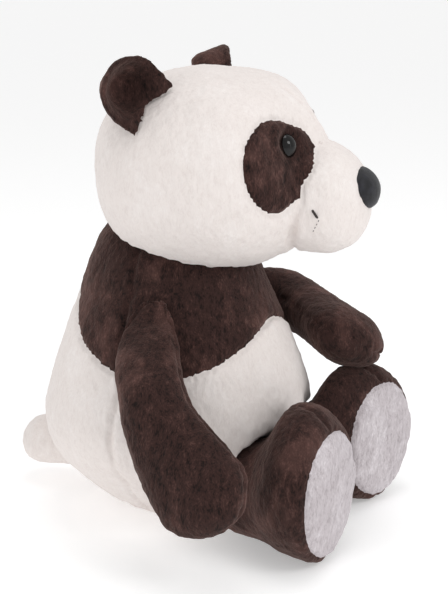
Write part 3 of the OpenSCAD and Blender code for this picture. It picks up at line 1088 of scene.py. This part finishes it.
@dataclass
class Head(Stuffed):
    """The head: two side panels, the muzzle and the two eye patches in one skin."""

    eyes: dict[Side, np.ndarray] = field(default_factory=dict)
    outline: PatchOutline = PatchOutline()
    brow: Bulge = Bulge((0.006, -0.146, 0.358), 0.005, 0.03, (0.8, 1, 1.3))
    chin: Bulge = Bulge((0.007, -0.164, 0.272), 0.010, 0.034, (0.8, 1, 1))
    faint_seam: Bulge = Bulge((0.006, -0.146, 0.352), 0.75, 0.03)
    socket_depth: float = 0.0035
    socket_width: float = 0.011
    lid_rise: float = 0.0032
    lid_radius: float = 0.0165
    lid_width: float = 0.006

    def sources(self) -> list[str]:
        """The frame nodes the skin is made from; the patches lie flush in it."""
        return [self.filling, *(n for n in self.panels if "patch" not in n)]

    def overlay(self, panel: np.ndarray, centres: np.ndarray) -> np.ndarray:
        """Gives the faces under each patch's outline to the patch."""
        order = list(self.panels)
        base = [order.index(n) for n in order if "patch" not in n]
        for side in Side:
            mine = order.index(f"eye_patch_{side.word}")
            panel = np.where(panel == mine, base[0 if side is Side.LEFT else 1], panel)
        for side in Side:
            mine = order.index(f"eye_patch_{side.word}")
            panel = np.where(self.outline.inside(centres, side), mine, panel)
        return panel

    def seam_strength(self, points: np.ndarray) -> np.ndarray:
        """The back and crown seam is faint; the patch and muzzle seams are deep."""
        low = 0.35 + 0.85 * step(-points[:, 1], 0.085, 0.115) + 0.6 * step(0.31 - points[:, 2], 0, 0.01)
        return low * (1 - self.faint_seam.height(points))

    def shape(self, skin: bpy.types.Object) -> None:
        """Sinks the eyes' sockets with a lid above each, and fills the brow.

        Args:
            skin: The skin.
        """
        points, normals = points_of(skin), normals_of(skin)
        high = np.zeros(len(points))
        for eye in self.eyes.values():
            d = points - eye
            far = np.linalg.norm(d, axis=1)
            high -= self.socket_depth * hill(far, self.socket_width)
            above = 0.55 + 0.45 * np.clip(d[:, 2] / 0.016, -1, 1)
            high += self.lid_rise * above * hill(far - self.lid_radius, self.lid_width)
        high += self.brow.height(points)
        high += self.chin.height(points)
        move_points(skin, points + normals * high[:, None])


@dataclass
class Button:
    """A safety eye: a glossy dome on the end of a shank."""

    frame: dict
    side: Side
    place: np.ndarray
    head_middle: Point = (0.002, -0.04, 0.332)
    sunk: float = 0.0022
    taller: float = 1.1

    def build(self, mats: dict[str, bpy.types.Material]) -> bpy.types.Object:
        """Models the eye.

        Args:
            mats: Materials by slot.

        Returns:
            The eye.
        """
        node = f"eye_{self.side.word}"
        eye = copied([node], self.frame, node + "_button")
        points = points_of(eye)
        way = self.place - np.array(self.head_middle)
        way = way / np.linalg.norm(way)
        middle = points.mean(axis=0)
        points = middle + (points - middle) * (1, 1, self.taller)
        move_points(eye, points - way * self.sunk)
        subdivided(eye, 1)
        only(eye)
        bpy.ops.object.shade_smooth_by_angle(angle=math.radians(50))
        eye.data.materials.append(mats["eye_plastic"])
        stand_in(eye, node, self.frame)
        return eye


@dataclass
class Arm(Stuffed):
    """An arm whose top runs flat into the shoulder of the body."""

    side: Side = Side.RIGHT
    flat: float = 0.84
    lifts: tuple[float, float] = (0.012, 0.024)
    shoulder_out: float = 0.1287

    def shape(self, skin: bpy.types.Object) -> None:
        """Draws the arm's top up and in against the body, and lowers the far hand a little and draws it back.

        Args:
            skin: The skin.
        """
        body = copied(["yoke_front", "yoke_back", "belly_panel", "back_panel"], self.frame, "body")
        tree = tree_of(body)
        bpy.data.objects.remove(body)
        points = points_of(skin)
        rise = step(points[:, 2], 0.168, 0.214)
        if self.side is Side.LEFT:
            hand = step(-points[:, 1], 0.07, 0.15)
            points[:, 2] -= hand * (0.004 + 0.005 * step(0.185 - points[:, 2], 0, 0.03))
            points[:, 1] += 0.005 * hand
            rise = rise * step(points[:, 1], -0.075, -0.03)
        lift = self.lifts[self.side is Side.RIGHT]
        for i in np.flatnonzero(rise > 0):
            p = Vector(points[i]) + Vector((0, 0, lift * rise[i]))
            q = tree.find_nearest(p)[0]
            points[i] = q + (p - q) * (1 - self.flat * rise[i])
        move_points(skin, points)

    def attach(self, piece: bpy.types.Object, node: str, slot: str) -> None:
        """Lets the shoulder stay with the body while the arm turns.

        Args:
            piece: The panel.
            node: The frame node.
            slot: The material slot; not used.
        """
        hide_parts(node)
        x = self.shoulder_out * self.side.value
        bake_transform(piece, "torso", f"arm_{self.side.word}", (x, -0.034, 0.225), (x, -0.045, 0.165))


@dataclass
class Ear(Stuffed):
    """A cupped ear of two panels, turned out round its rim."""

    cup: float = 0.019
    shift: Point = (0, 0, 0)
    droop: float = 0.0
    squeeze: float = 1.0

    def build(self) -> bpy.types.Object:
        """Makes the ear's skin at a finer grain.

        Returns:
            The skin.
        """
        skin = copied(list(self.panels), self.frame, "ear_skin")
        finish_modifier(skin, "REMESH", mode="VOXEL", voxel_size=self.pad.voxel)
        keep_outside(skin)
        finish_modifier(skin, "SMOOTH", factor=0.5, iterations=4)
        self.mark(skin)
        subdivided(skin, 1)
        self.even_seams(skin)
        self.shape(skin)
        self.sew(skin)
        self.fluff(skin)
        return skin

    def shape(self, skin: bpy.types.Object) -> None:
        """Deepens the cup: the middle goes back, both sides of the rim stay.

        Args:
            skin: The skin.
        """
        points = points_of(skin)
        spread = points - points.mean(axis=0)
        axes = np.linalg.svd(spread, full_matrices=False)[2]
        back = axes[2] if axes[2][1] > 0 else -axes[2]
        wide, tall = spread @ axes[0], spread @ axes[1]
        reach = np.hypot(wide / np.abs(wide).max(), tall / np.abs(tall).max())
        deep = self.cup * (1 - step(reach, 0.2, 0.92))
        points = points + back * deep[:, None] + np.array(self.shift)
        points[:, 2] += self.droop * (points[:, 1] - points[:, 1].mean())
        points[:, 1] += (self.squeeze - 1) * (points[:, 1] - points[:, 1].mean())
        move_points(skin, points)


@dataclass
class Nose(Ear):
    """A padded satin nose with a gathered edge."""

    def shape(self, skin: bpy.types.Object) -> None:
        """Makes the nose wider and fuller.

        Args:
            skin: The skin.
        """
        points = points_of(skin)
        middle = points.mean(axis=0)
        points = middle + (points - middle) * (1.2, 1.45, 1.04)
        points[:, 1] += 0.002
        move_points(skin, points)


@dataclass
class Stitch:
    """A thread laid on the skin along a short line."""

    points: list[Point]
    radius: float
    steps: int = 9

    def build(self, name: str, skin: BVHTree, lift: float) -> bpy.types.Object:
        """Sweeps the thread along its line.

        Args:
            name: The object's name.
            skin: The surface it lies on.
            lift: How far its middle stands off.

        Returns:
            The thread.
        """
        curve = bpy.data.curves.new(name, "CURVE")
        curve.dimensions = "3D"
        curve.bevel_depth = self.radius
        curve.bevel_resolution = 5
        curve.use_fill_caps = True
        line = curve.splines.new("NURBS")
        ends = np.array(self.points)
        count = self.steps * (len(ends) - 1) + 1
        ts = np.linspace(0, len(ends) - 1, count)
        line.points.add(count - 1)
        for i, t in enumerate(ts):
            k = min(int(t), len(ends) - 2)
            p = Vector(ends[k] + (ends[k + 1] - ends[k]) * (t - k))
            hit, normal, _, _ = skin.find_nearest(p)
            out_of_cloth = math.sin(math.pi * i / (count - 1)) ** 0.4
            p = hit + normal * (lift * (2.2 * out_of_cloth - 1.2))
            line.points[i].co = (*p, 1.0)
        line.use_endpoint_u = True
        obj = bpy.data.objects.new(name, curve)
        bpy.context.scene.collection.objects.link(obj)
        only(obj)
        bpy.ops.object.convert(target="MESH")
        bpy.ops.object.shade_smooth()
        return bpy.context.view_layer.objects.active


@dataclass(frozen=True)
class Mouth:
    """The mouth's two corners: a thick stitch with a row of small ones below it."""

    corner: Point = (-0.0385, -0.152, 0.307)
    slant: Point = (0.002, -0.004, -0.0065)
    thick: float = 0.0011
    fine: float = 0.0003
    dots: int = 4
    pitch: float = 0.0033

    def build(self, skin: BVHTree) -> list[bpy.types.Object]:
        """Lays the stitches on the muzzle.

        Args:
            skin: The head's outer surface.

        Returns:
            The stitches.
        """
        start, slant = np.array(self.corner), np.array(self.slant)
        lines = [(np.array([start, start + slant]), self.thick)]
        for k in range(self.dots):
            top = start + slant * 1.3 + np.array((-0.0004 * k, 0.0015 * k, -self.pitch * k))
            lines.append((np.array([top, top + (-0.0002, 0.0006, -0.0012)]), self.fine))
        made = []
        for side in Side:
            for k, (line, radius) in enumerate(lines):
                here = line if side is Side.RIGHT else mirrored(line)
                stitch = Stitch([tuple(p) for p in here], radius)
                made.append(stitch.build(f"stitch_{side.word}_{k}", skin, radius * 0.8))
        return made


# ---------------------------------------------------------------- the toy
# Each pile: a painted shade colour, its own colour, a painted highlight colour, then shader sheen and its
# tint.
PLUSHES = {
    "white_plush": Plush("White pile", paint(226, 217, 213), paint(233, 225, 221), paint(241, 235, 232),
                         0.25, (1.0, 0.98, 0.97), tip_share=0.4, mottle=0.4, strength=0.5),
    "dark_plush": Plush("Brown pile", paint(17, 10, 9), paint(52, 34, 31), paint(106, 76, 70),
                        0.4, (0.5, 0.34, 0.3), tip_share=0.36, mottle=0.4, strength=0.9),
    "sole_plush": Plush("Grey pile", paint(164, 155, 158), paint(192, 184, 187), paint(224, 218, 221),
                        0.35, (1.0, 0.97, 1.0), tip_share=0.5, mottle=0.35),
}


@dataclass
class Panda:
    """The whole toy."""

    frame: dict
    mats: dict[str, bpy.types.Material] = field(default_factory=dict)
    mouth: Mouth = Mouth()

    def dress(self) -> None:
        """Makes the materials and gives each frame node its own."""
        for slot, plush in PLUSHES.items():
            self.mats[slot] = plush.material()
        self.mats["nose_plush"] = Satin("Nose satin", paint(16, 16, 19), paint(38, 38, 44)).material()
        self.mats["thread"] = Thread("Thread", paint(20, 14, 13), paint(52, 38, 35)).material()
        self.mats["eye_plastic"] = Gloss("Eye plastic", paint(6, 5, 5), 0.03, 0.0).material()
        self.mats["washer_nylon"] = Gloss("Washer nylon", paint(205, 203, 198), 0.35, 0.1).material()
        # The filling's pile also gets a painted shade colour and a painted highlight colour.
        self.mats["stuffing"] = Plush(
            "Filling", paint(200, 198, 194), paint(232, 230, 226), paint(250, 249, 247), 0.2, (1, 1, 1)
        ).material()
        slots = self.slots()
        for name, node in self.frame["nodes"].items():
            node.data.materials.clear()
            node.data.materials.append(self.mats[slots[name]])

    def slots(self) -> dict[str, str]:
        """The material slot of each frame node."""
        out = {}
        for name in self.frame["nodes"]:
            if "stuffing" in name:
                slot = "stuffing"
            elif "washer" in name:
                slot = "washer_nylon"
            elif name.startswith("eye_patch") or name.startswith("ear") or name.startswith("yoke"):
                slot = "dark_plush"
            elif name.startswith("eye_"):
                slot = "eye_plastic"
            elif name.startswith("nose"):
                slot = "nose_plush"
            elif name in ("mouth_stitches", "neck_thread"):
                slot = "thread"
            elif name.startswith("sole"):
                slot = "sole_plush"
            elif name.startswith("arm") or name.startswith("leg"):
                slot = "dark_plush"
            else:
                slot = "white_plush"
            out[name] = slot
        return out

    def panels(self, *names: str) -> dict[str, str]:
        """Panel names with their slots."""
        slots = self.slots()
        return {n: slots[n] for n in names}

    def stuffed(self) -> None:
        """Builds all stuffed forms."""
        eyes = {side: np.array(sum(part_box(f"eye_{side.word}"), Vector()) / 2) for side in Side}
        forms = {
            "head": Head(self.frame, "head_stuffing",
                         self.panels("head_panel_left", "head_panel_right", "muzzle_cover",
                                     "eye_patch_left", "eye_patch_right"),
                         Padding(voxel=0.0042, cap=0.003, groove=0.0022, fill=0.9), seed=3, eyes=eyes),
            "torso": Stuffed(self.frame, "torso_stuffing",
                             self.panels("yoke_front", "yoke_back", "belly_panel", "back_panel",
                                         "base_panel"),
                             Padding(voxel=0.0048, cap=0.004, groove=0.0024, fill=0.8), seed=11),
            "tail": Stuffed(self.frame, "tail_stuffing", self.panels("tail_cover"),
                            Padding(voxel=0.0042, cap=0.002, fill=0.6), seed=17),
        }
        for side in Side:
            w = side.word
            forms[f"arm_{w}"] = Arm(self.frame, f"arm_stuffing_{w}",
                                    self.panels(f"arm_{w}_outer", f"arm_{w}_inner"),
                                    Padding(voxel=0.0044, cap=0.002, lump=0.0017, fill=0.7),
                                    seed=23 + side.value, side=side)
            forms[f"leg_{w}"] = Stuffed(self.frame, f"leg_stuffing_{w}",
                                        self.panels(f"leg_{w}_outer", f"leg_{w}_inner", f"sole_{w}"),
                                        Padding(voxel=0.0046, cap=0.002, fill=0.8), seed=31 + side.value)
        for name, form in forms.items():
            skin = form.build()
            if name == "head":
                self.face(tree_of(skin), eyes)
            form.cut(skin, self.mats)
            self.filling(form)
        for side in Side:
            w = side.word
            ear = Ear(self.frame, "", self.panels(f"ear_{w}_front", f"ear_{w}_back"),
                      Padding(voxel=0.0022, groove=0.0008, groove_width=0.002, lump=0.0006, fill=0.3),
                      seed=41 + side.value,
                      shift=(0, -0.012, 0) if side is Side.LEFT else (0.002, 0.003, 0.003),
                      droop=0.38 if side is Side.LEFT else 0.0,
                      squeeze=0.74 if side is Side.LEFT else 1.0)
            ear.cut(ear.build(), self.mats)
        nose = Nose(self.frame, "", self.panels("nose_cover"),
                    Padding(voxel=0.0018, lump=0.0004, nap=0.0001, fill=0.8), seed=51)
        nose.cut(nose.build(), self.mats)

    def filling(self, form: Stuffed) -> None:
        """Makes a filling a soft mass a little inside its skin.

        Args:
            form: The form it fills.
        """
        node = form.filling
        soft = copied([node], self.frame, node + "_soft")
        finish_modifier(soft, "REMESH", mode="VOXEL", voxel_size=0.006)
        finish_modifier(soft, "SMOOTH", factor=0.5, iterations=4)
        points = points_of(soft)
        inside = 0.0038 + 0.001 * lumps(points, 0.018, 7)
        move_points(soft, points - normals_of(soft) * inside[:, None])
        if isinstance(form, Arm):
            points = points_of(soft)
            top = np.maximum(points[:, 2] - 0.162, 0)
            points[:, 2] -= top * 0.8
            move_points(soft, points)
        only(soft)
        bpy.ops.object.shade_smooth()
        soft.data.materials.append(self.mats["stuffing"])
        form.attach(soft, node, "stuffing")

    def face(self, skin: BVHTree, eyes: dict[Side, np.ndarray]) -> None:
        """Adds the eyes and the mouth.

        Args:
            skin: The head's outer surface.
            eyes: The eyes' middles.
        """
        for side, place in eyes.items():
            Button(self.frame, side, place).build(self.mats)
        parts = self.mouth.build(skin)
        only(parts[0])
        for part in parts[1:]:
            part.select_set(True)
        bpy.ops.object.join()
        mouth = bpy.context.view_layer.objects.active
        mouth.name = mouth.data.name = "mouth_thread"
        mouth.data.materials.clear()
        mouth.data.materials.append(self.mats["thread"])
        stand_in(mouth, "mouth_stitches", self.frame)


# ---------------------------------------------------------------- studio
@dataclass(frozen=True)
class Lamp:
    """One soft lamp."""

    name: str
    place: Point
    aim: Point
    size: float
    power: float
    tall: float = 0.0

    def build(self) -> None:
        """Hangs the lamp."""
        data = bpy.data.lights.new(self.name, "AREA")
        data.shape = "RECTANGLE" if self.tall else "DISK"
        data.size = self.size
        if self.tall:
            data.size_y = self.tall
        data.energy = self.power
        lamp = bpy.data.objects.new(self.name, data)
        bpy.context.scene.collection.objects.link(lamp)
        lamp.location = self.place
        way = Vector(self.aim) - Vector(self.place)
        lamp.rotation_euler = way.to_track_quat("-Z", "Y").to_euler()


@dataclass(frozen=True)
class Studio:
    """Pale floor, soft light and the camera."""

    eye: Point = (-1.127, -0.542, 0.530)
    aim: Point = (0.019, -0.044, 0.205)
    lens: float = 82.55
    glow: float = 0.68
    lamps: tuple[Lamp, ...] = (
        Lamp("Key", (-0.45, -1.5, 1.35), (0, -0.05, 0.2), 0.7, 6.5),
        Lamp("Strip", (-0.15, -1.4, 0.7), (-0.05, -0.12, 0.35), 0.12, 0.7, tall=0.9),
        Lamp("Top", (0.1, 0.0, 1.9), (0, 0, 0.2), 0.9, 5),
        Lamp("Fill", (-1.6, 0.7, 0.9), (0, 0, 0.2), 1.0, 3),
    )

    def build(self) -> None:
        """Builds the studio."""
        bpy.ops.mesh.primitive_plane_add(size=80, location=(0, 0, 0))
        floor = bpy.context.active_object
        floor.name = "Floor"
        floor.data.materials.append(Sweep("Floor paper", (0.88, 0.88, 0.88)).material())
        world = bpy.data.worlds.new("Room")
        world.use_nodes = True
        world.node_tree.nodes["Background"].inputs[0].default_value = (1, 1, 1, 1)
        world.node_tree.nodes["Background"].inputs[1].default_value = self.glow
        bpy.context.scene.world = world
        bpy.context.scene.view_settings.view_transform = "Standard"
        for lamp in self.lamps:
            lamp.build()
        data = bpy.data.cameras.new("Camera")
        data.lens = self.lens
        data.sensor_width = 36
        data.sensor_fit = "AUTO"
        cam = bpy.data.objects.new("Camera", data)
        bpy.context.scene.collection.objects.link(cam)
        cam.location = self.eye
        cam.rotation_euler = (Vector(self.aim) - Vector(self.eye)).to_track_quat("-Z", "Y").to_euler()
        bpy.context.scene.camera = cam


def main() -> None:
    """Builds the scene."""
    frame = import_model()
    panda = Panda(frame)
    panda.dress()
    panda.stuffed()
    Studio().build()
    bpy.context.view_layer.update()


if __name__ == "__main__":
    main()
